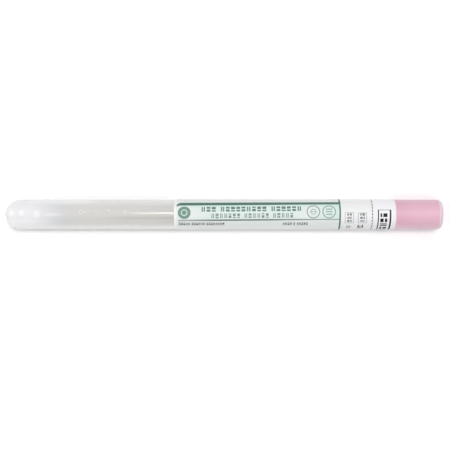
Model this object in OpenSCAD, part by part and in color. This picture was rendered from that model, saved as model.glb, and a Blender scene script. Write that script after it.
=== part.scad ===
// Swab tube: a capped plastic test tube that carries a cotton swab on its cap.
// The tube lies on its side along X, with the cap at +X and Z = 0 on the surface it lies on.
// Each piece is turned or cut about its own +Z axis, measured from the tube's round end,
// and lay() then puts it down on its side.

/* [Tube] */
// Outside diameter of the tube and of the cap, which are flush
tube_d = 12.2; // [10:0.1:16]
// Length of the tube from its round end to its mouth
tube_len = 150; // [120:1:180]
// Wall where the round end begins
tube_wall = 1; // [0.7:0.05:1.3]
// Thickness at the middle of the round end
floor_t = 1.2; // [0.8:0.1:2]
// Wall along the parallel seat for the plug, inside the mouth
seat_wall = 0.8; // [0.6:0.05:1]
// How much deeper the seat is than the plug is long
seat_spare = 2; // [0.5:0.5:6]
// Chamfer inside the mouth
mouth_chamfer = 0.4; // [0.1:0.05:0.5]
// Diameter of the gate mark left on the round end by moulding
gate_d = 1.4; // [0.8:0.1:2]
// Height of that gate mark
gate_h = 0.3; // [0.1:0.05:0.6]

/* [Cap] */
// Length of the cap's head, outside the tube
head_len = 29; // [22:0.5:36]
// Radius round the end of the head
head_edge_r = 1.3; // [0.5:0.1:2]
// Thickness of the closed end
head_end_t = 2; // [1.2:0.1:4]
// Width of the shallow dish in the closed end
dish_d = 5; // [3:0.5:7]
// Depth of that dish
dish_depth = 0.3; // [0.1:0.05:0.6]

/* [Plug] */
// Length of the plug inside the tube
plug_len = 10; // [8:0.5:10.5]
// Wall of the plug at its tip
plug_wall = 0.9; // [0.6:0.05:1.2]
// Chamfer that leads the plug into the mouth
plug_lead = 0.6; // [0.2:0.1:0.8]
// Distance from the head's shoulder to the first sealing bead
bead_first = 2.4; // [1.5:0.1:3]
// Distance between the two sealing beads
bead_pitch = 3.6; // [2.5:0.1:4]
// Draft of the hollow core, in degrees
core_draft = 0.3; // [0.1:0.05:0.5]

/* [Stick holder in the cap] */
// Wall of the socket that grips the stick
socket_wall = 1.3; // [0.9:0.1:1.5]
// How far the socket's mouth lies inside the tip of the plug
socket_recess = 4; // [1:0.5:8]
// Width of the flared way into the socket
socket_flare = 0.4; // [0.1:0.05:0.6]
// How far the stick runs past the head's shoulder into the head
stick_grip = 13; // [8:0.5:18]
// Diameter of the relief bore behind the stick
relief_d = 1.5; // [0.8:0.1:1.8]
// Thickness of the four webs round the socket
web_t = 1; // [0.6:0.1:1.4]
// Distance from the head's shoulder to where the webs start
web_start = 2; // [0.5:0.5:6]

/* [Swab] */
// Diameter of the wooden stick
stick_d = 2.5; // [2:0.1:2.6]
// Chamfer round both ends of the stick
stick_chamfer = 0.2; // [0.05:0.05:0.4]
// Free space between the round end's outside and the tip of the bud
tip_gap = 11.3; // [8:0.1:20]
// Length of the cotton bud
bud_len = 17; // [12:0.5:22]
// Largest diameter of the cotton bud
bud_d = 5; // [4:0.1:6]
// Cotton ahead of the stick's end
bud_nose = 1.7; // [1:0.1:3]

/* [Label] */
// Length of the label on the tube, back from the mouth
label_len = 80.6; // [50:0.1:110]
// Length of the tear-off part of the label, on the cap
seal_len = 9.6; // [6:0.1:16]
// Thickness of the paper with its glue
label_t = 0.1; // [0.06:0.01:0.2]
// Where the paper's outer end lies, in degrees round from the underside to the back
lap_start = 53; // [30:1:60]
// How far round from there the outer end laps over the inner end, in degrees
lap_angle = 28; // [10:1:50]
// Number of slits in the perforated tear line
slit_count = 28; // [12:1:40]
// Paper left between two slits
tie_w = 0.5; // [0.3:0.05:0.7]
// Width of a slit along the tube
slit_w = 0.14; // [0.1:0.02:0.5]

/* [Fits] */
// Gap all round between the plug and its seat
plug_clear = 0.3; // [0.2:0.05:0.5]
// Gap all round between the beads and the seat
bead_clear = 0.03; // [0.01:0.01:0.1]
// Gap all round between the stick and its socket
socket_clear = 0.02; // [0.01:0.01:0.1]
// Gap all round between the stick and the cotton wound on it
bud_clear = 0.02; // [0.01:0.01:0.1]

/* [Hidden] */
$fn = 96;

tube_r = tube_d / 2;
seat_r = tube_r - seat_wall;
bore_end_r = tube_r - tube_wall;
stick_r = stick_d / 2;
label_r = tube_r + label_t;
lap_r = label_r + label_t;
plug_r = seat_r - plug_clear;
bead_r = plug_clear - bead_clear;
socket_r = stick_r + socket_clear;
boss_r = socket_r + socket_wall;
core_r = plug_r - plug_wall;

// Stations along the axis, from the round end
mouth = tube_len;
plug_tip = mouth - plug_len;
head_end = mouth + head_len;
core_end = head_end - head_end_t;
seat_bottom = plug_tip - seat_spare;
boss_tip = plug_tip + socket_recess;
stick_end = mouth + stick_grip;
stick_start = tip_gap + bud_nose;
bud_end = tip_gap + bud_len;

// The middle of the whole length, and the height of the axis above the table
mid_length = (head_end - gate_h) / 2;
axis_height = label_r;

// Enough to carry a cut past a face
past = 1;

module lay() {
    translate([-mid_length, 0, axis_height]) rotate([0, 90, 0]) children();
}

// Half outline of a bar with a full round end, whose tip is at height bottom
module round_ended(r, bottom, top_r, top) {
    translate([0, bottom + r]) intersection() {
        circle(r = r);
        translate([0, -r]) square(r);
    }
    polygon([[0, bottom + r], [r, bottom + r], [top_r, top], [0, top]]);
}

module tube_outline() {
    difference() {
        round_ended(tube_r, 0, tube_r, mouth);
        round_ended(bore_end_r, floor_t, seat_r, seat_bottom);
        translate([0, seat_bottom]) square([seat_r, mouth - seat_bottom + past]);
        polygon([
            [0, mouth - mouth_chamfer], [seat_r, mouth - mouth_chamfer],
            [seat_r + mouth_chamfer, mouth], [0, mouth]
        ]);
    }
}

module tube() {
    color([0.88, 0.88, 0.87, 0.6]) lay() {
        rotate_extrude() tube_outline();
        translate([0, 0, -gate_h]) cylinder(d = gate_d, h = gate_h + floor_t / 2);
    }
}

// A pie slice from the first angle, which the label's second layer is cut to
module slice(from, turn, reach) {
    polygon([
        [0, 0],
        for (step = [0:4]) let (a = from + turn * step / 4) reach * [cos(a), sin(a)]
    ]);
}

// The section of the wrapped paper: one full turn, and the lap over its start
module paper_section() {
    difference() {
        circle(r = label_r);
        circle(r = tube_r);
    }
    intersection() {
        difference() {
            circle(r = lap_r);
            circle(r = tube_r + label_t / 2);
        }
        slice(lap_start, lap_angle, tube_d);
    }
}

// The slits of the tear line, half of each in the label and half in the seal band
module slits() {
    pitch = 360 / slit_count;
    slit_len = PI * tube_d / slit_count - tie_w;
    for (i = [0:slit_count - 1])
        rotate((i + 0.5) * pitch)
            translate([tube_r - label_t, -slit_len / 2, mouth - slit_w / 2])
                cube([label_t * 4, slit_len, slit_w]);
}

module wrap(from, length) {
    difference() {
        translate([0, 0, from]) linear_extrude(length) paper_section();
        slits();
    }
}

module label() {
    color([0.93, 0.94, 0.94]) lay() wrap(mouth - label_len, label_len);
}

module seal_band() {
    color([0.93, 0.94, 0.94]) lay() wrap(mouth, seal_len);
}

module head_outline() {
    difference() {
        translate([0, mouth]) square([tube_r, head_len]);
        translate([tube_r - head_edge_r, head_end - head_edge_r]) difference() {
            square(head_edge_r + past);
            circle(r = head_edge_r);
        }
        polygon([
            [0, head_end - dish_depth], [dish_d / 2 - dish_depth, head_end - dish_depth],
            [dish_d / 2, head_end], [0, head_end]
        ]);
    }
}

module plug_outline() {
    polygon([
        [0, plug_tip], [plug_r - plug_lead, plug_tip], [plug_r, plug_tip + plug_lead],
        [plug_r, mouth], [0, mouth]
    ]);
    for (i = [0:1])
        translate([plug_r, mouth - bead_first - i * bead_pitch]) circle(r = bead_r);
}

// The hollow between the socket and the wall, narrower towards the closed end
module core_outline() {
    deep_r = core_r - (core_end - plug_tip) * tan(core_draft);
    polygon([[0, plug_tip], [core_r, plug_tip], [deep_r, core_end], [0, core_end]]);
}

module socket_outline() {
    square([socket_r, stick_end]);
    square([relief_d / 2, core_end]);
    polygon([
        [0, boss_tip], [socket_r + socket_flare, boss_tip],
        [socket_r, boss_tip + socket_flare], [0, boss_tip + socket_flare]
    ]);
}

module webs() {
    for (turn = [0, 90])
        rotate(turn)
            translate([-plug_r, -web_t / 2, mouth + web_start])
                cube([plug_r * 2, web_t, head_len - web_start]);
}

module cap() {
    color([0.91, 0.73, 0.80]) lay() difference() {
        rotate_extrude() {
            head_outline();
            plug_outline();
        }
        difference() {
            rotate_extrude() core_outline();
            translate([0, 0, boss_tip]) cylinder(r = boss_r, h = core_end);
            webs();
        }
        rotate_extrude() socket_outline();
    }
}

module stick() {
    color([0.86, 0.76, 0.58]) lay() rotate_extrude() polygon([
        [0, stick_start], [stick_r - stick_chamfer, stick_start],
        [stick_r, stick_start + stick_chamfer], [stick_r, stick_end - stick_chamfer],
        [stick_r - stick_chamfer, stick_end], [0, stick_end]
    ]);
}

// Radius of the wound cotton at a share of its length: a blunt nose, then a long taper to the stick
function bud_radius(share) =
    stick_r + bud_clear + (bud_d / 2 - stick_r - bud_clear)
        * (share < 0.4 ? 1 : (1 + cos(180 * (share - 0.4) / 0.6)) / 2);

module bud_outline() {
    nose_r = bud_d / 2;
    steps = 24;
    translate([0, tip_gap + nose_r]) intersection() {
        circle(r = nose_r);
        translate([0, -nose_r]) square(nose_r);
    }
    polygon([
        [0, tip_gap + nose_r],
        for (i = [0:steps])
            let (share = i / steps)
            [bud_radius(share), tip_gap + nose_r + share * (bud_len - nose_r)],
        [0, bud_end]
    ]);
}

module bud() {
    color([0.97, 0.97, 0.96]) lay() difference() {
        rotate_extrude() bud_outline();
        translate([0, 0, stick_start]) cylinder(r = stick_r + bud_clear, h = bud_len);
    }
}

tube();
label();
seal_band();
cap();
stick();
bud();
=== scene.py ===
import math
import random

import bpy
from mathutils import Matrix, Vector, noise


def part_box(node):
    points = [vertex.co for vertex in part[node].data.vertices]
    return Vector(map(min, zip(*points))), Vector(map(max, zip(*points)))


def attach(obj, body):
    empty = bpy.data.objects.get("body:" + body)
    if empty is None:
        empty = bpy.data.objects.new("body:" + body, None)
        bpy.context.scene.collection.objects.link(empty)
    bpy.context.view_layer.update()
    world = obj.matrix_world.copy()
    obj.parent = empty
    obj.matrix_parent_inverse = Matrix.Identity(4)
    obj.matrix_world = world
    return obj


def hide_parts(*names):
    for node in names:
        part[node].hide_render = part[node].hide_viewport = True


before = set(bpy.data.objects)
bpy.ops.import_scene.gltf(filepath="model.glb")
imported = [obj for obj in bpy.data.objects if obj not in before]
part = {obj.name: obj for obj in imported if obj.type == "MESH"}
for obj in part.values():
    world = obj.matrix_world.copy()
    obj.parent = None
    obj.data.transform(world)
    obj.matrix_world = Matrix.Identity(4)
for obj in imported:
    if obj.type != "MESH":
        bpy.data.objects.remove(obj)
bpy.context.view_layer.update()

# ---------------------------------------------------------------------------------------------
# The tube: a round-bottomed test tube, moulded in one from natural polypropylene. Its wall is
# milky, so that the swab shows only as a soft shade, and whitest at the thick round end, which
# has a few painted spots of light. Its front there is painted lighter, its back flank is painted
# darker, and a painted shadow of the stick runs along it.
# ---------------------------------------------------------------------------------------------
MM = 0.001


class Wire:
    """A socket in a material's nodes. Sums on it add Math nodes, and node() adds any other."""

    def __init__(self, tree, socket=None):
        self.tree, self.socket = tree, socket

    def node(self, kind, inputs, out=0, **settings):
        made = self.tree.nodes.new(kind)
        for name, value in settings.items():
            setattr(made, name, value)
        for place, value in inputs.items():
            if isinstance(value, Wire):
                self.tree.links.new(value.socket, made.inputs[place])
            else:
                made.inputs[place].default_value = value
        return Wire(self.tree, made.outputs[out] if made.outputs else None)

    def out(self, name):
        """Another output of the node that this socket belongs to."""
        return Wire(self.tree, self.socket.node.outputs[name])

    def math(self, operation, *numbers):
        return self.node("ShaderNodeMath", dict(enumerate(numbers)), operation=operation)

    def __add__(self, other):
        return self.math("ADD", self, other)

    def __radd__(self, other):
        return self.math("ADD", other, self)

    def __sub__(self, other):
        return self.math("SUBTRACT", self, other)

    def __rsub__(self, other):
        return self.math("SUBTRACT", other, self)

    def __mul__(self, other):
        return self.math("MULTIPLY", self, other)

    def __rmul__(self, other):
        return self.math("MULTIPLY", other, self)

    def __truediv__(self, other):
        return self.math("DIVIDE", self, other)

    def __gt__(self, other):
        return self.math("GREATER_THAN", self, other)

    def __lt__(self, other):
        return self.math("LESS_THAN", self, other)

    def __or__(self, other):
        """The larger of two masks."""
        return self.math("MAXIMUM", self, other)

    def within(self, low, high):
        """1 where this number lies between low and high, else 0."""
        return self.math("COMPARE", self, (low + high) / 2, (high - low) / 2)

    def ease(self, low, high):
        """Runs smoothly from 0 at low to 1 at high."""
        return self.node("ShaderNodeMapRange", {0: self, 1: low, 2: high},
                         interpolation_type="SMOOTHSTEP")

    def fade(self, low, high):
        """Runs smoothly from 1 at low to 0 at high."""
        return 1 - self.ease(low, high)

    def blend(self, low, high):
        """A colour from low, where this number is 0, to high, where it is 1."""
        low, high = [tone(ink) if isinstance(ink, str) else ink for ink in (low, high)]
        return self.node("ShaderNodeMix", {0: self, 6: low, 7: high}, out=2, data_type="RGBA")

    def length(self, across, along):
        """The length of a line that runs this far across and this far along."""
        return self.math("SQRT", across * across + along * along)

    def place(self):
        """The piece's own coordinates, in metres, as three wires along X, Y and Z."""
        spot = self.node("ShaderNodeTexCoord", {}, out="Object")
        x = self.node("ShaderNodeSeparateXYZ", {0: spot})
        return x, x.out("Y"), x.out("Z")

    def grain(self, scale, detail=3.0, stretch=(1, 1, 1)):
        """Noise over the piece, this many grains to the metre, stretched along the axes."""
        spot = self.node("ShaderNodeTexCoord", {}, out="Object")
        spot = self.node("ShaderNodeMapping", {"Vector": spot, "Scale": stretch})
        return self.node("ShaderNodeTexNoise", {"Vector": spot, "Scale": scale, "Detail": detail})

    def bump(self, height, strength, distance):
        return self.node("ShaderNodeBump",
                         {"Height": height, "Strength": strength, "Distance": distance})

    def surface(self, shader):
        self.node("ShaderNodeOutputMaterial", {"Surface": shader})

    def skin(self, sockets):
        """The finished surface, from the values and links of a Principled shader's sockets."""
        self.surface(self.node("ShaderNodeBsdfPrincipled", sockets))


def finish_named(name):
    """A new material with an empty node tree, and a wire to build on."""
    material = bpy.data.materials.new(name)
    material.use_nodes = True
    material.node_tree.nodes.clear()
    return material, Wire(material.node_tree)


def coat(piece, material):
    """Gives every face of a piece one material."""
    piece.data.materials.clear()
    piece.data.materials.append(material)


def tone(code):
    """A colour written as RRGGBB, as the shader wants it."""
    shares = [int(code[i:i + 2], 16) / 255 for i in (0, 2, 4)]
    return (*[s / 12.92 if s < 0.04045 else ((s + 0.055) / 1.055) ** 2.4 for s in shares], 1)


tube_low, tube_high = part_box("tube")
mouth = tube_high.x
tube_r = (tube_high.z - tube_low.z) / 2
axis_z = (tube_high.z + tube_low.z) / 2

# How much shows through the wall, and the slants at which it clouds and then clears again
CLEAR_MIDDLE, CLEAR_END, CLEAR_EDGE, CLEAR_RIM = 0.41, 0.06, 0.03, 0.12
CLOUDS, CLEARS = (0.12, 0.5), (0.55, 0.85)
# Stretches along the tube, in metres; two of them set in the painted back shade and the painted
# stick shadow
THICK_END = (tube_low.x + 10 * MM, tube_low.x + 29 * MM)
WOOD_SHOWS = (tube_low.x + 20 * MM, tube_low.x + 31 * MM)
BACK_SHADE_ALONG = (mouth - 124 * MM, mouth - 108 * MM)
STICK_SHADOW_GROWS = (mouth - 113 * MM, mouth - 99 * MM)
FULLY_THIN = mouth - 80 * MM
# Bands across the tube, in millimetres from the axis to the back: the painted lighter front, the
# painted shade on the back flank, and the painted shadow of the stick
FRONT, BACK, STICK_SHADOW = (-3.8, -0.8), (3.9, 4.9), -1.55
# Each painted spot of light in the round end: how far from the round end, how far to the back, its
# radius and its stretch
PAINTED_LIGHT_SPOTS = ((3.6, 0.4, 1.7, 1), (7.9, 0.5, 1.6, 1), (14.0, 0.1, 2.2, 0.85), (20.8, -0.15, 0.9, 5.4))

milky, wire = finish_named("milky_polypropylene")
x, y, _ = wire.place()
slant = wire.node("ShaderNodeLayerWeight", {"Blend": 0.5}, out="Facing")
thin = x.ease(*THICK_END) + 0.3 * x.ease(THICK_END[1], FULLY_THIN)
clearness = CLEAR_EDGE + slant.fade(*CLOUDS) * (
    CLEAR_END - CLEAR_EDGE + (CLEAR_MIDDLE - CLEAR_END) * thin)
clearness = clearness + (CLEAR_RIM - CLEAR_EDGE) * slant.ease(*CLEARS)

haze = wire.grain(300, 4, (0.25, 1, 1))
flow = wire.grain(900, 2, (0.1, 1, 1))
to_back = y / MM
# Painted light: the front of the round end is painted lighter, where its lower flank falls into
# shade
milk = to_back.ease(*FRONT).blend("fdfdff", haze.blend("f2f2f6", "f6f6f9"))
milk = thin.blend(milk, haze.blend("eff1f4", "f4f5f7"))
milk = x.ease(*WOOD_SHOWS).blend(milk, haze.blend("f5f4f1", "f9f8f6"))
# Painted light: bright spots painted into the thick round end, where light gathers in it
for inward, aside, radius, stretch in PAINTED_LIGHT_SPOTS:
    du, dv = (x - (tube_low.x + inward * MM)) / (stretch * MM), (y - aside * MM) / MM
    milk = wire.length(du, dv).fade(0.45 * radius, radius).blend(milk, "ffffff")
# Painted shade: the back flank is painted darker towards the mouth
milk = (0.6 * (to_back.ease(*BACK) * x.ease(*BACK_SHADE_ALONG))).blend(milk, "dfdedc")
# Painted shadow: the stick's shadow, painted darker along the front of the wall, stronger towards
# the mouth
stick_shadow = wire.math("ABSOLUTE", to_back - STICK_SHADOW).fade(0.2, 1.0)
milk = (stick_shadow * (0.2 + 0.8 * x.ease(*STICK_SHADOW_GROWS))).blend(milk, "e9e8e4")
wire.skin({
    "Base Color": milk,
    "Roughness": 0.10 + 0.06 * haze,
    "IOR": 1.49,
    "Coat Weight": 1.0,
    "Coat Roughness": 0.05,
    "Alpha": 1 - clearness,
    "Normal": wire.bump(flow, 0.005, 0.1 * MM),
})
coat(part["tube"], milky)

# ---------------------------------------------------------------------------------------------
# The mould marks: four small plain figures in low relief, in a row on top of the tube near its
# round end. They are cut in the mould, so they are of one piece with the wall and of the same
# plastic. They are too low to feel, and only glint.
# ---------------------------------------------------------------------------------------------
MARK_WIDTH, MARK_HEIGHT, MARK_FOOT = 0.36 * MM, 0.085 * MM, 0.05 * MM
# The section of a line in the marks: places across it, in shares of its width, and heights
BEAD = ((-0.5, -MARK_FOOT), (-0.4, 0.55 * MARK_HEIGHT), (-0.15, MARK_HEIGHT),
        (0.15, MARK_HEIGHT), (0.4, 0.55 * MARK_HEIGHT), (0.5, -MARK_FOOT))
CIRCLE_STEPS = 28


def on_tube(along, across, height):
    """The point this far along from the mouth, round from the top to the back, and off the wall."""
    turn, reach = across / tube_r, tube_r + height
    return Vector((mouth + along, reach * math.sin(turn), axis_z + reach * math.cos(turn)))


def circle(along, across, radius):
    """Points round a circle drawn on the tube, in millimetres."""
    turns = [math.radians(360 * i / CIRCLE_STEPS) for i in range(CIRCLE_STEPS)]
    return [(along + radius * math.cos(t), across + radius * math.sin(t)) for t in turns]


def bead(line, first):
    """The points and faces of a low bead along a line on the tube, numbered from first.

    A line with a circle's number of points is closed.
    """
    points, faces, count, sides = [], [], len(line), len(BEAD)
    closed = count == CIRCLE_STEPS
    for i, (u, v) in enumerate(line):
        before = line[i - 1] if i or closed else line[i]
        after = line[(i + 1) % count] if i < count - 1 or closed else line[i]
        run = math.hypot(after[0] - before[0], after[1] - before[1])
        nu, nv = -(after[1] - before[1]) / run, (after[0] - before[0]) / run
        points += [on_tube(u * MM + nu * off * MARK_WIDTH, v * MM + nv * off * MARK_WIDTH, height)
                   for off, height in BEAD]
    for i in range(count if closed else count - 1):
        here, there = first + i * sides, first + (i + 1) % count * sides
        faces += [(here + k, there + k, there + (k + 1) % sides, here + (k + 1) % sides)
                  for k in range(sides)]
    if not closed:
        last = first + (count - 1) * sides
        faces += [tuple(range(first, first + sides)), tuple(range(last + sides - 1, last - 1, -1))]
    return points, faces


def new_piece(name, points, faces):
    """A smooth-shaded object of these points and faces."""
    mesh = bpy.data.meshes.new(name)
    mesh.from_pydata(points, [], faces)
    mesh.validate()
    mesh.shade_smooth()
    made = bpy.data.objects.new(name, mesh)
    bpy.context.scene.collection.objects.link(made)
    return made


points, faces = [], []
for line in (
    circle(-118.3, 0.9, 0.75),
    circle(-116.6, 0.9, 0.25),
    [(-113.1, 0.3), (-112.4, 1.5), (-111.7, 0.3)],
    [(-112.9, 2.0), (-111.8, 2.0)],
    [(-107.5, 0.3), (-106.3, 0.3), (-106.3, 1.5), (-107.5, 1.5), (-107.5, 0.4)],
    [(-105.2, 0.2), (-105.2, 1.7)],
    circle(-100.4, 0.9, 0.6),
    [(-99.3, 0.9), (-98.3, 0.9)],
):
    more_points, more_faces = bead(line, len(points))
    points += more_points
    faces += more_faces
marks = new_piece("mould_marks", points, faces)

relief, wire = finish_named("milky_relief")
wire.skin({
    "Base Color": tone("ffffff"),
    "Roughness": 0.15,
    "IOR": 1.49,
    "Coat Weight": 0.8,
    "Alpha": 0.65,
})
coat(marks, relief)
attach(marks, "tube")

# ---------------------------------------------------------------------------------------------
# The stick: a plain birch rod, cut square at both ends with the edges just broken. One end sits
# in the cap's socket, and the cotton is wound on the other.
# ---------------------------------------------------------------------------------------------
birch, wire = finish_named("birch")
grain = wire.grain(2600, 4, (0.03, 1, 1))
streak = wire.grain(900, 2, (0.02, 1, 1))
wire.skin({
    "Base Color": streak.ease(0.35, 0.7).blend(
        grain.blend("d9bd92", "ecd9b6"), grain.blend("c9a877", "e2c99f")),
    "Roughness": 0.5 + 0.25 * grain,
    "Normal": wire.bump(grain, 0.5, 0.08 * MM),
})
coat(part["stick"], birch)

# ---------------------------------------------------------------------------------------------
# The bud: loose cotton fibre wound round the end of the stick by machine, fullest behind the
# nose and tapering down to the wood. The winding shows as a shallow spiral, and short ends of
# fibre stand off it.
# ---------------------------------------------------------------------------------------------
bud_low, bud_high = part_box("bud")
stick_low, stick_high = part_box("stick")
bud_r = (bud_high.z - bud_low.z) / 2
stick_r = (stick_high.z - stick_low.z) / 2
bud_length = bud_high.x - bud_low.x
bore_length = stick_low.x - bud_low.x
bore_r = stick_r + 0.02 * MM

# The share of the cotton's length that is full, before it tapers down to the wood
FULL_SHARE = 0.4
# How high its fibres stand, and how far behind the tip they reach that height
NAP, NAP_GROWS = 0.10 * MM, 0.6 * MM
SPIRAL_LEAD, BUNDLE_LENGTH, LINT_LENGTH = 2.6 * MM, 9 * MM, 0.5 * MM
# Points round the bud, rings along it, how many of them stand closer at the nose, and how close
ROUND, ALONG, NOSE_RINGS, NOSE_FINENESS = 96, 150, 8, 40
FIBRES, FIBRE_STEPS, FIBRE_ROOT = 520, 5, 0.03 * MM


def wound_radius(reach):
    """The cotton's outside radius this far behind the tip of its nose."""
    if reach < bud_r:
        return math.sqrt(bud_r ** 2 - (bud_r - reach) ** 2)
    share = max((reach - bud_r) / (bud_length - bud_r) - FULL_SHARE, 0) / (1 - FULL_SHARE)
    return stick_r + (bud_r - stick_r) * (1 + math.cos(math.pi * min(share, 1))) / 2


def ply(reach, turn):
    """How high the fibres lie, from 0 to 1: bundles that follow the spiral, and finer lint."""
    lay = 2 * math.pi * (reach / SPIRAL_LEAD) - turn
    bundle = noise.fractal(
        Vector((2.2 * math.cos(lay), 2.2 * math.sin(lay), reach / BUNDLE_LENGTH)), 0.9, 2.1, 4)
    lint = noise.fractal(
        Vector((reach / LINT_LENGTH, 3.0 * math.cos(turn), 3.0 * math.sin(turn))), 0.8, 2.2, 3)
    return min(max(0.5 + 0.55 * bundle + 0.3 * lint, 0), 1)


def round_stick(reach, turn, radius):
    """The point this far behind the tip, this far round, and this far from the stick's axis."""
    return Vector((bud_low.x + reach, radius * math.sin(turn), axis_z + radius * math.cos(turn)))


def on_bud(reach, turn, lift=0.0):
    """A point on the wound cotton, or this far above it."""
    nap = NAP * ply(reach, turn) * min(reach / NAP_GROWS, 1)
    return round_stick(reach, turn, max(wound_radius(reach) - NAP, 0) + nap + lift)


turns = [2 * math.pi * i / ROUND for i in range(ROUND)]
rings = [bud_length * (1 - math.cos(math.pi / 2 * (i + 1) / NOSE_FINENESS))
         for i in range(NOSE_RINGS)]
even = ALONG - NOSE_RINGS
rings += [rings[-1] + (bud_length - rings[-1]) * (i + 1) / even for i in range(even)]
points = [Vector((bud_low.x, 0, axis_z))]
for reach in rings:
    points += [on_bud(reach, turn) for turn in turns]
for reach in (bud_length, bore_length):
    points += [round_stick(reach, turn, bore_r) for turn in turns]
points.append(Vector((stick_low.x, 0, axis_z)))

faces = [(0, 1 + (i + 1) % ROUND, 1 + i) for i in range(ROUND)]
for ring in range(len(rings) + 1):
    here, there = 1 + ring * ROUND, 1 + (ring + 1) * ROUND
    faces += [(here + i, here + (i + 1) % ROUND, there + (i + 1) % ROUND, there + i)
              for i in range(ROUND)]
last = 1 + (len(rings) + 1) * ROUND
faces += [(last + i, last + (i + 1) % ROUND, len(points) - 1) for i in range(ROUND)]

chance = random.Random(11)
for _ in range(FIBRES):
    root = bud_length * chance.uniform(0.01, 0.97)
    turn = chance.uniform(0, 2 * math.pi)
    sweep = chance.uniform(0.25, 0.9) * chance.choice((-1, 1))
    slope = chance.uniform(-0.5, 0.5) * MM
    height = chance.uniform(0.08, 0.32) * MM
    thick = chance.uniform(0.010, 0.017) * MM
    curl = chance.uniform(-0.25, 0.25) * MM
    first = len(points)
    for step in range(FIBRE_STEPS + 1):
        s = step / FIBRE_STEPS
        reach = min(max(root + slope * s + curl * math.sin(math.pi * s), 0.02 * MM), bud_length)
        middle = on_bud(reach, turn + sweep * s, height * s ** 1.5 - FIBRE_ROOT)
        out = Vector((0, math.sin(turn + sweep * s), math.cos(turn + sweep * s)))
        half = thick * (1 - 0.7 * s)
        side = Vector((half, 0, 0))
        points += [middle + out * half, middle - out * half * 0.5 + side,
                   middle - out * half * 0.5 - side]
    tip = first + 3 * FIBRE_STEPS
    for here in range(first, tip, 3):
        faces += [(here + k, here + (k + 1) % 3, here + 3 + (k + 1) % 3, here + 3 + k)
                  for k in range(3)]
    faces += [(first + 2, first + 1, first), (tip, tip + 1, tip + 2)]
cotton_bud = new_piece("cotton_bud", points, faces)

cotton, wire = finish_named("wound_cotton")
fibre = wire.grain(9000, 5, (1, 0.3, 0.3))
clump = wire.grain(1400, 3, (1, 0.5, 0.5))
wire.skin({
    "Base Color": (0.5 * fibre + 0.5 * clump).ease(0.3, 0.65).blend("e2e2e0", "fafaf8"),
    "Roughness": 0.95,
    "Sheen Weight": 0.4,
    "Sheen Roughness": 0.5,
    "Subsurface Weight": 0.3,
    "Subsurface Radius": (1 * MM, 1 * MM, 1 * MM),
    "Subsurface Scale": 0.5,
    "Normal": wire.bump(fibre, 0.5, 0.1 * MM),
})
coat(cotton_bud, cotton)
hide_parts("bud")
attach(cotton_bud, "swab")

# ---------------------------------------------------------------------------------------------
# The cap: one moulding in pale pink polyethylene, pressed into the tube's mouth by its plug. Its
# satin skin has the faint grain of the mould and a deeper pink towards the tube. A paler pink
# painted down its front stands for reflected light, and a pale painted sheen lies on the
# rounded edge of its closed end.
# ---------------------------------------------------------------------------------------------
cap_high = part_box("cap")[1]
RIM_SHEEN_WIDTH = 1.9 * MM
PALES_ALONG = (cap_high.x - 19 * MM, cap_high.x - 10 * MM)
CAP_PAINTED_REFLECTION = (-5.8, -3.2)

pink, wire = finish_named("pink_polyethylene")
mould_grain = wire.grain(2600, 3)
cloud = wire.grain(140, 2, (0.5, 1, 1))
drawn = wire.grain(1500, 2, (0.05, 1, 1))
x, y, z = wire.place()
off_axis = wire.length(y, z - axis_z)
# Painted sheen: the rounded edge of the closed end is painted pale, where light catches it
rim_sheen = (x.ease(cap_high.x - RIM_SHEEN_WIDTH, cap_high.x - 0.6 * RIM_SHEEN_WIDTH)
          * off_axis.ease(0.66 * tube_r, 0.84 * tube_r))
colour = cloud.blend("e5b5c8", "e9bccf")
colour = (0.5 - 0.5 * x.ease(*PALES_ALONG)).blend(colour, "dcaabd")
# Painted reflection: the cap's front flank is painted paler, where light from the front shows on it
colour = ((y / MM).fade(*CAP_PAINTED_REFLECTION) * (off_axis > 0.97 * tube_r)).blend(colour, "eec5d6")
wire.skin({
    "Base Color": rim_sheen.blend(colour, "f0dbe4"),
    "Roughness": 0.42 + 0.12 * mould_grain,
    "Sheen Weight": 0.35,
    "Sheen Roughness": 0.5,
    "Subsurface Weight": 0.2,
    "Subsurface Radius": (3 * MM, 2 * MM, 2 * MM),
    "Subsurface Scale": 0.5,
    "Normal": wire.bump(0.6 * mould_grain + 0.4 * drawn, 0.14, 0.05 * MM),
})
coat(part["cap"], pink)

# ---------------------------------------------------------------------------------------------
# The label and the seal band: one piece of white coated paper glued round the tube and on over
# the cap, lapped on itself at the back, and torn apart along its slits when the cap is drawn.
# It is printed in green, grey and black with plain fields, frames and blocks.
# ---------------------------------------------------------------------------------------------
label_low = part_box("label")[0]
PAPER = 0.1 * MM
SLITS, SKEW = 28, 0.008
paper_r = (tube_r + PAPER) / MM
bare_edge = (label_low.x - mouth) / MM

# Places on the paper are in millimetres: along from the mouth, and across from the top line.
# Most of the print lies slightly askew on the tube.
paper, wire = finish_named("printed_paper")
x, y, z = wire.place()
along = x / MM - mouth / MM
across = wire.math("ARCTAN2", y, z - axis_z) * paper_r
askew = across - SKEW * (along + 31)


def patch(left, right, low, high):
    """A filled rectangle on the paper."""
    return along.within(left, right) * across.within(low, high)


def outline(left, right, low, high, line):
    """The outline of a rectangle."""
    return (patch(left, right, low, high)
            - patch(left + line, right - line, low + line, high - line))


def away(left, middle):
    """The distance from a point on the paper."""
    return wire.length(along - left, across - middle)


def ring(left, middle, radius, line):
    return away(left, middle).within(radius - line / 2, radius + line / 2)


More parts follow.
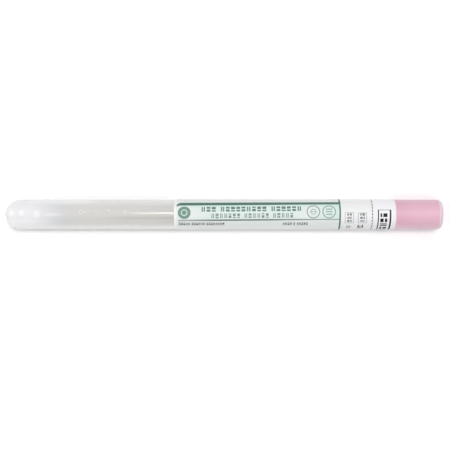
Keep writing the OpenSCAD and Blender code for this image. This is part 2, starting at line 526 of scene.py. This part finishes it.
def blocks(run, rise, start, pitch, words, space, low, high, fill, seed):
    """A row of small plain blocks in the places of words.

    The row runs along run from start, and stands on rise from low to high. A word is a number
    of blocks, and each block is parted once by a slot, across or down.
    """
    total = 0
    for cells in words:
        count = (run - start) / pitch
        number = wire.math("FLOOR", count)
        part_way = count - number
        luck, other = [
            wire.node("ShaderNodeTexWhiteNoise", {"W": number + salt}, noise_dimensions="1D")
            for salt in (seed, seed + 40.5)]
        climb = (rise - low) / (high - low)
        width = fill / 2 * (0.8 + 0.2 * luck)
        body = wire.math("COMPARE", part_way, 0.5, width) * climb.within(0, 1)
        slot_across = wire.math("COMPARE", climb, 0.3 + 0.4 * other, 0.09) * (luck > 0.35)
        slot_down = part_way.within(0.42, 0.58) * (luck < 0.35)
        end = start + cells * pitch
        total = total + body * (1 - (slot_across | slot_down)) * run.within(start, end)
        start = end + space
    return total


PANEL_LEFT, PANEL_RIGHT = -79.4, -13.15
GREEN, SOFT_GREEN, DULL_GREEN, GREY_GREEN = "5a7d71", "6a897d", "748a82", "66776f"
GREY, BLACK, BAND_GREY, BAND_BLACK = "93989a", "26282b", "8d9194", "25272a"

panel = along.within(PANEL_LEFT, PANEL_RIGHT)
words_field = along.ease(-74, -66) * along.fade(-31, -27)
signs_field = along.ease(-27, -13.5) * along.within(-40, PANEL_RIGHT)
# How far a point lies past where the heavy line begins to round off at its left end
corner = wire.math("MAXIMUM", -77.8 - along, 0.0)
heavy = wire.math("COMPARE", askew + 0.30 * corner * corner, 4.87,
                  0.76 - 0.15 * corner - 0.08 * along.ease(-50, -25))
rule = wire.math("COMPARE", askew, -2.24, 0.31 - 0.10 * along.ease(-50, -16))
slit = wire.math("FRACT", across / (2 * math.pi * paper_r / SLITS) + 0.5)

# What lies on the paper, from the first layer to the last: where, in which ink and how thick
prints = [
    # Painted light: the paper is painted whiter down its sides, where it turns from the lamps, and
    # it is whiter on the cap
    (across.ease(5.5, 8) | across.fade(-8.5, -3.0), "ffffff", 0.65),
    (along > 0, "fbf9ff", 0.6),
    # The pale green fields behind the words and the signs, and the bare edge left of them
    (across.ease(-7, -4) * across.fade(8, 15) * panel, "dae6e2", 0.45),
    (askew.ease(-2.6, -1.2) * askew.fade(4, 5) * (words_field * 0.5 | signs_field),
     "c6eee0", 0.42),
    (askew.ease(2.7, 4.0) * askew.fade(4.6, 5.6) * panel, "bcebd9", 0.32),
    (along.within(bare_edge, bare_edge + 0.8) * across.fade(2.4, 3.4), "fafafa", 1.0),
    # The heavy line above the words, the rule below them and the bar at their right
    (heavy * along.within(-79.5, PANEL_RIGHT), GREEN, 1.0),
    (rule * along.within(-78.9, PANEL_RIGHT), GREY_GREEN,
     0.65 + 0.35 * along.ease(-76, -62) - 0.25 * along.ease(-50, -16)),
    (patch(-13.48, -12.83, -13, 13), GREEN, 1.0),
    # The filled badge and the ring on it
    (away(-76.4, 0.62) < 2.59, "7a9c8f", 1.0),
    (ring(-76.4, 0.62, 1.15, 0.42), "d5e3dc", 1.0),
    # Two rows of green blocks, two rows of small black ones, and a grey row towards the back
    (blocks(along, askew, -69.7, 2.12, (3, 9, 6), 1.45, 1.3, 3.35, 0.78, 3.5), SOFT_GREEN, 1.0),
    (blocks(along, askew, -65.7, 1.75, (7, 6, 5), 1.15, -1.36, 0.47, 0.7, 17.5),
     DULL_GREEN, 0.9),
    (blocks(along, across, -78.7, 0.93, (5, 6, 8), 0.5, -4.95, -3.62, 0.8, 31.5), BLACK, 0.9),
    (blocks(along, across, -36.3, 0.93, (4, 1, 5), 0.45, -4.87, -3.55, 0.8, 47.5), BLACK, 0.9),
    (blocks(along, across, -78.3, 0.9, (5, 6), 0.8, 8.1, 8.7, 0.6, 53.5), GREY, 0.6),
    # The two outlined signs: a ring with a barred ring in it, and a ring with three bars
    (ring(-24.0, 1.03, 2.55, 0.42), "97a8a1", 1.0),
    (ring(-17.6, 1.03, 2.55, 0.42), "97a8a1", 1.0),
    (ring(-24.0, 1.03, 1.0, 0.4) | patch(-25.4, -22.6, 0.85, 1.2), "b4c4bd", 1.0),
    (patch(-18.9, -16.3, 1.9, 2.3) | patch(-18.9, -16.3, 0.85, 1.25)
     | patch(-18.9, -16.3, -0.2, 0.2), "93a69e", 1.0),
]
# The two upright frames right of the bar, with three blocks in each
for left, right, high, seed in ((-11.2, -7.6, 0.74, 61.5), (-5.9, -2.3, 0.58, 71.5)):
    upright = blocks(across, along, -3.5, 1.35, (3,), 0, left + 0.9, right - 0.8, 0.72, seed)
    prints += [(outline(left, right, -3.83, high, 0.22), "aeb2b4", 1.0),
               (upright, "7f8487", 1.0)]
prints += [
    # A small square outline and three short black bars below the frames
    (patch(-10.3, -8.7, -6.8, -5.3) - patch(-9.9, -9.1, -6.4, -5.7), GREY, 1.0),
    (patch(-5.75, -5.2, -6.9, -4.9) | patch(-4.9, -4.45, -7.1, -5.8)
     | patch(-4.1, -3.6, -6.9, -4.8), BLACK, 1.0),
    # The shade in the slits of the tear line
    (along.within(-0.19, 0.19) * slit.within(0.2, 0.8), "4d5054", 1.0),
    # The long frame on the seal band, and the row of bold blocks in it
    (patch(2.15, 2.6, -19.5, 1.85) | patch(6.95, 7.6, -19.5, 1.85), BAND_BLACK, 1.0),
    (patch(2.6, 6.95, 1.6, 1.85), BAND_GREY, 1.0),
    (blocks(across, along, -18.85, 2.17, (9,), 0, 3.2, 6.0, 0.78, 83.5), BAND_BLACK, 1.0),
]

tooth = wire.grain(4000, 4)
fleck = wire.grain(700, 3)
colour = (0.6 * tooth + 0.4 * fleck).blend("f0f0f1", "f6f6f7")
for mask, ink, thickness in prints:
    colour = (mask * thickness).blend(colour, ink)
wire.skin({
    "Base Color": colour,
    "Roughness": 0.5 + 0.1 * tooth,
    "Specular IOR Level": 0.15,
    "Normal": wire.bump(0.5 * tooth + 0.5 * fleck, 0.12, 0.06 * MM),
})
coat(part["label"], paper)
coat(part["seal_band"], paper)

# ---------------------------------------------------------------------------------------------
# The table, the lamps and the camera: a plain white surface in an even white room, strip lamps
# above and a little behind the tube, and soft lamps round it. The table has a soft shadow painted
# close to the front of the tube, is painted a little darker close to the tube, and runs out into
# white. The camera hangs straight above.
# ---------------------------------------------------------------------------------------------
TABLE_REACH = 3.0
# What the eye sees added to the table's light: everywhere, beside the tube, and far from it;
# less is added close to the tube, which paints a shade there
LIFT, LIFT_BESIDE, LIFT_FAR = 0.16, 0.05, 0.79
FAR_OFF = (0.16, 0.4)
# How dark the narrow and the wide painted shade are, and their bands, in millimetres off the tube's
# axis
NARROW_SHADE, WIDE_SHADE = 0.08, 0.055
SHADE_STARTS, NARROW_ENDS, WIDE_ENDS, BESIDE = (5.6, 6.1), (6.2, 7.0), (6.8, 8.2), (7.5, 10)
FRONT_SIDE = (0.5, 4.5)
# Where the two run along X, in metres: the wide one lies by the middle and by the round end
NARROW_STOPS = (0.025, 0.065)
WIDE_BEGINS, WIDE_STOPS, WIDE_AT_END = (-0.03, -0.01), (0.055, 0.066), (-0.08, -0.066)

corners = [(TABLE_REACH * u, TABLE_REACH * v, 0) for u, v in ((-1, -1), (1, -1), (1, 1), (-1, 1))]
table = new_piece("table", corners, [(0, 1, 2, 3)])


def seen_by_eye(wire):
    """1 for what the camera sees, also in a reflection or through the plastic, else 0."""
    path = wire.node("ShaderNodeLightPath", {}, out="Is Camera Ray")
    return path | path.out("Is Glossy Ray") | path.out("Is Transmission Ray")


white, wire = finish_named("white_table")
matt = wire.node("ShaderNodeBsdfDiffuse", {"Color": (0.9, 0.9, 0.9, 1)})
x, y, _ = wire.place()
far = wire.math("SQRT", 0.2 * x * x + y * y).ease(*FAR_OFF)
past_end = wire.math("MAXIMUM", tube_low.x + tube_r - x, 0.0) | (x - (cap_high.x - tube_r))
off_line = wire.length(y, past_end) / MM
narrow = off_line.ease(*SHADE_STARTS) * off_line.fade(*NARROW_ENDS) * x.fade(*NARROW_STOPS)
wide = off_line.ease(*SHADE_STARTS) * off_line.fade(*WIDE_ENDS) * (
    x.ease(*WIDE_BEGINS) * x.fade(*WIDE_STOPS) + 1 - x.ease(*WIDE_AT_END))
# Painted shadow: the table is darkened in bands along the front of the tube
shade = (NARROW_SHADE * narrow + WIDE_SHADE * wide) * (-1 * y / MM).ease(*FRONT_SIDE)
strength = LIFT + LIFT_BESIDE * off_line.ease(*BESIDE) - shade + LIFT_FAR * far
lift = wire.node("ShaderNodeEmission", {
    "Color": (1, 1, 1, 1), "Strength": strength * seen_by_eye(wire)})
wire.surface(wire.node("ShaderNodeAddShader", {0: matt, 1: lift}))
coat(table, white)

ROOM_LIGHT = 0.10
world = bpy.data.worlds.new("room")
bpy.context.scene.world = world
world.use_nodes = True
world.node_tree.nodes.clear()
room = Wire(world.node_tree)
room.node("ShaderNodeOutputWorld", {"Surface": room.node("ShaderNodeBackground", {
    "Color": (1, 1, 1, 1), "Strength": ROOM_LIGHT + (1 - ROOM_LIGHT) * seen_by_eye(room)})})

LAMP_DISTANCE = 0.9


def lamp(name, lean, length, width, level, shift=0.0, glossy=False, to_end=False):
    """A flat lamp over the tube, that adds about this level to what faces it.

    It leans this many degrees to the back, or to the round end. Only a glossy one shows in gloss.
    """
    data = bpy.data.lights.new(name, "AREA")
    data.shape, data.size, data.size_y = "RECTANGLE", length, width
    data.energy = level * math.pi * LAMP_DISTANCE ** 2 * math.pi
    made = bpy.data.objects.new(name, data)
    bpy.context.scene.collection.objects.link(made)
    lean = math.radians(lean)
    aside, height = LAMP_DISTANCE * math.sin(lean), axis_z + LAMP_DISTANCE * math.cos(lean)
    made.location = (-aside, 0, height) if to_end else (shift, aside, height)
    made.rotation_euler = (0, -lean, 0) if to_end else (-lean, 0, 0)
    made.visible_glossy = glossy


lamp("overhead_strip", 9.5, 0.58, 0.19, 0.40, shift=0.19, glossy=True)
lamp("overhead_strip_end", 9.5, 0.027, 0.19, 0.009, shift=-0.1135, glossy=True)
lamp("back_softbox", 45, 0.9, 0.5, 0.32)
lamp("front_softbox", -45, 0.9, 1.0, 0.37)
lamp("end_softbox", 52, 0.5, 0.5, 0.30, to_end=True)

VIEW_ANGLE, SENSOR_WIDTH, CLIP_START = 28.6, 36, 0.01
CAMERA_X, CAMERA_Y, CAMERA_ABOVE = 0.8 * MM, -4.38 * MM, 364 * MM
eye = bpy.data.cameras.new("camera")
eye.sensor_width = SENSOR_WIDTH
eye.angle = math.radians(VIEW_ANGLE)
eye.clip_start = CLIP_START
camera = bpy.data.objects.new("camera", eye)
bpy.context.scene.collection.objects.link(camera)
camera.location = (CAMERA_X, CAMERA_Y, axis_z + CAMERA_ABOVE)
bpy.context.scene.camera = camera
bpy.context.scene.view_settings.view_transform = "Standard"
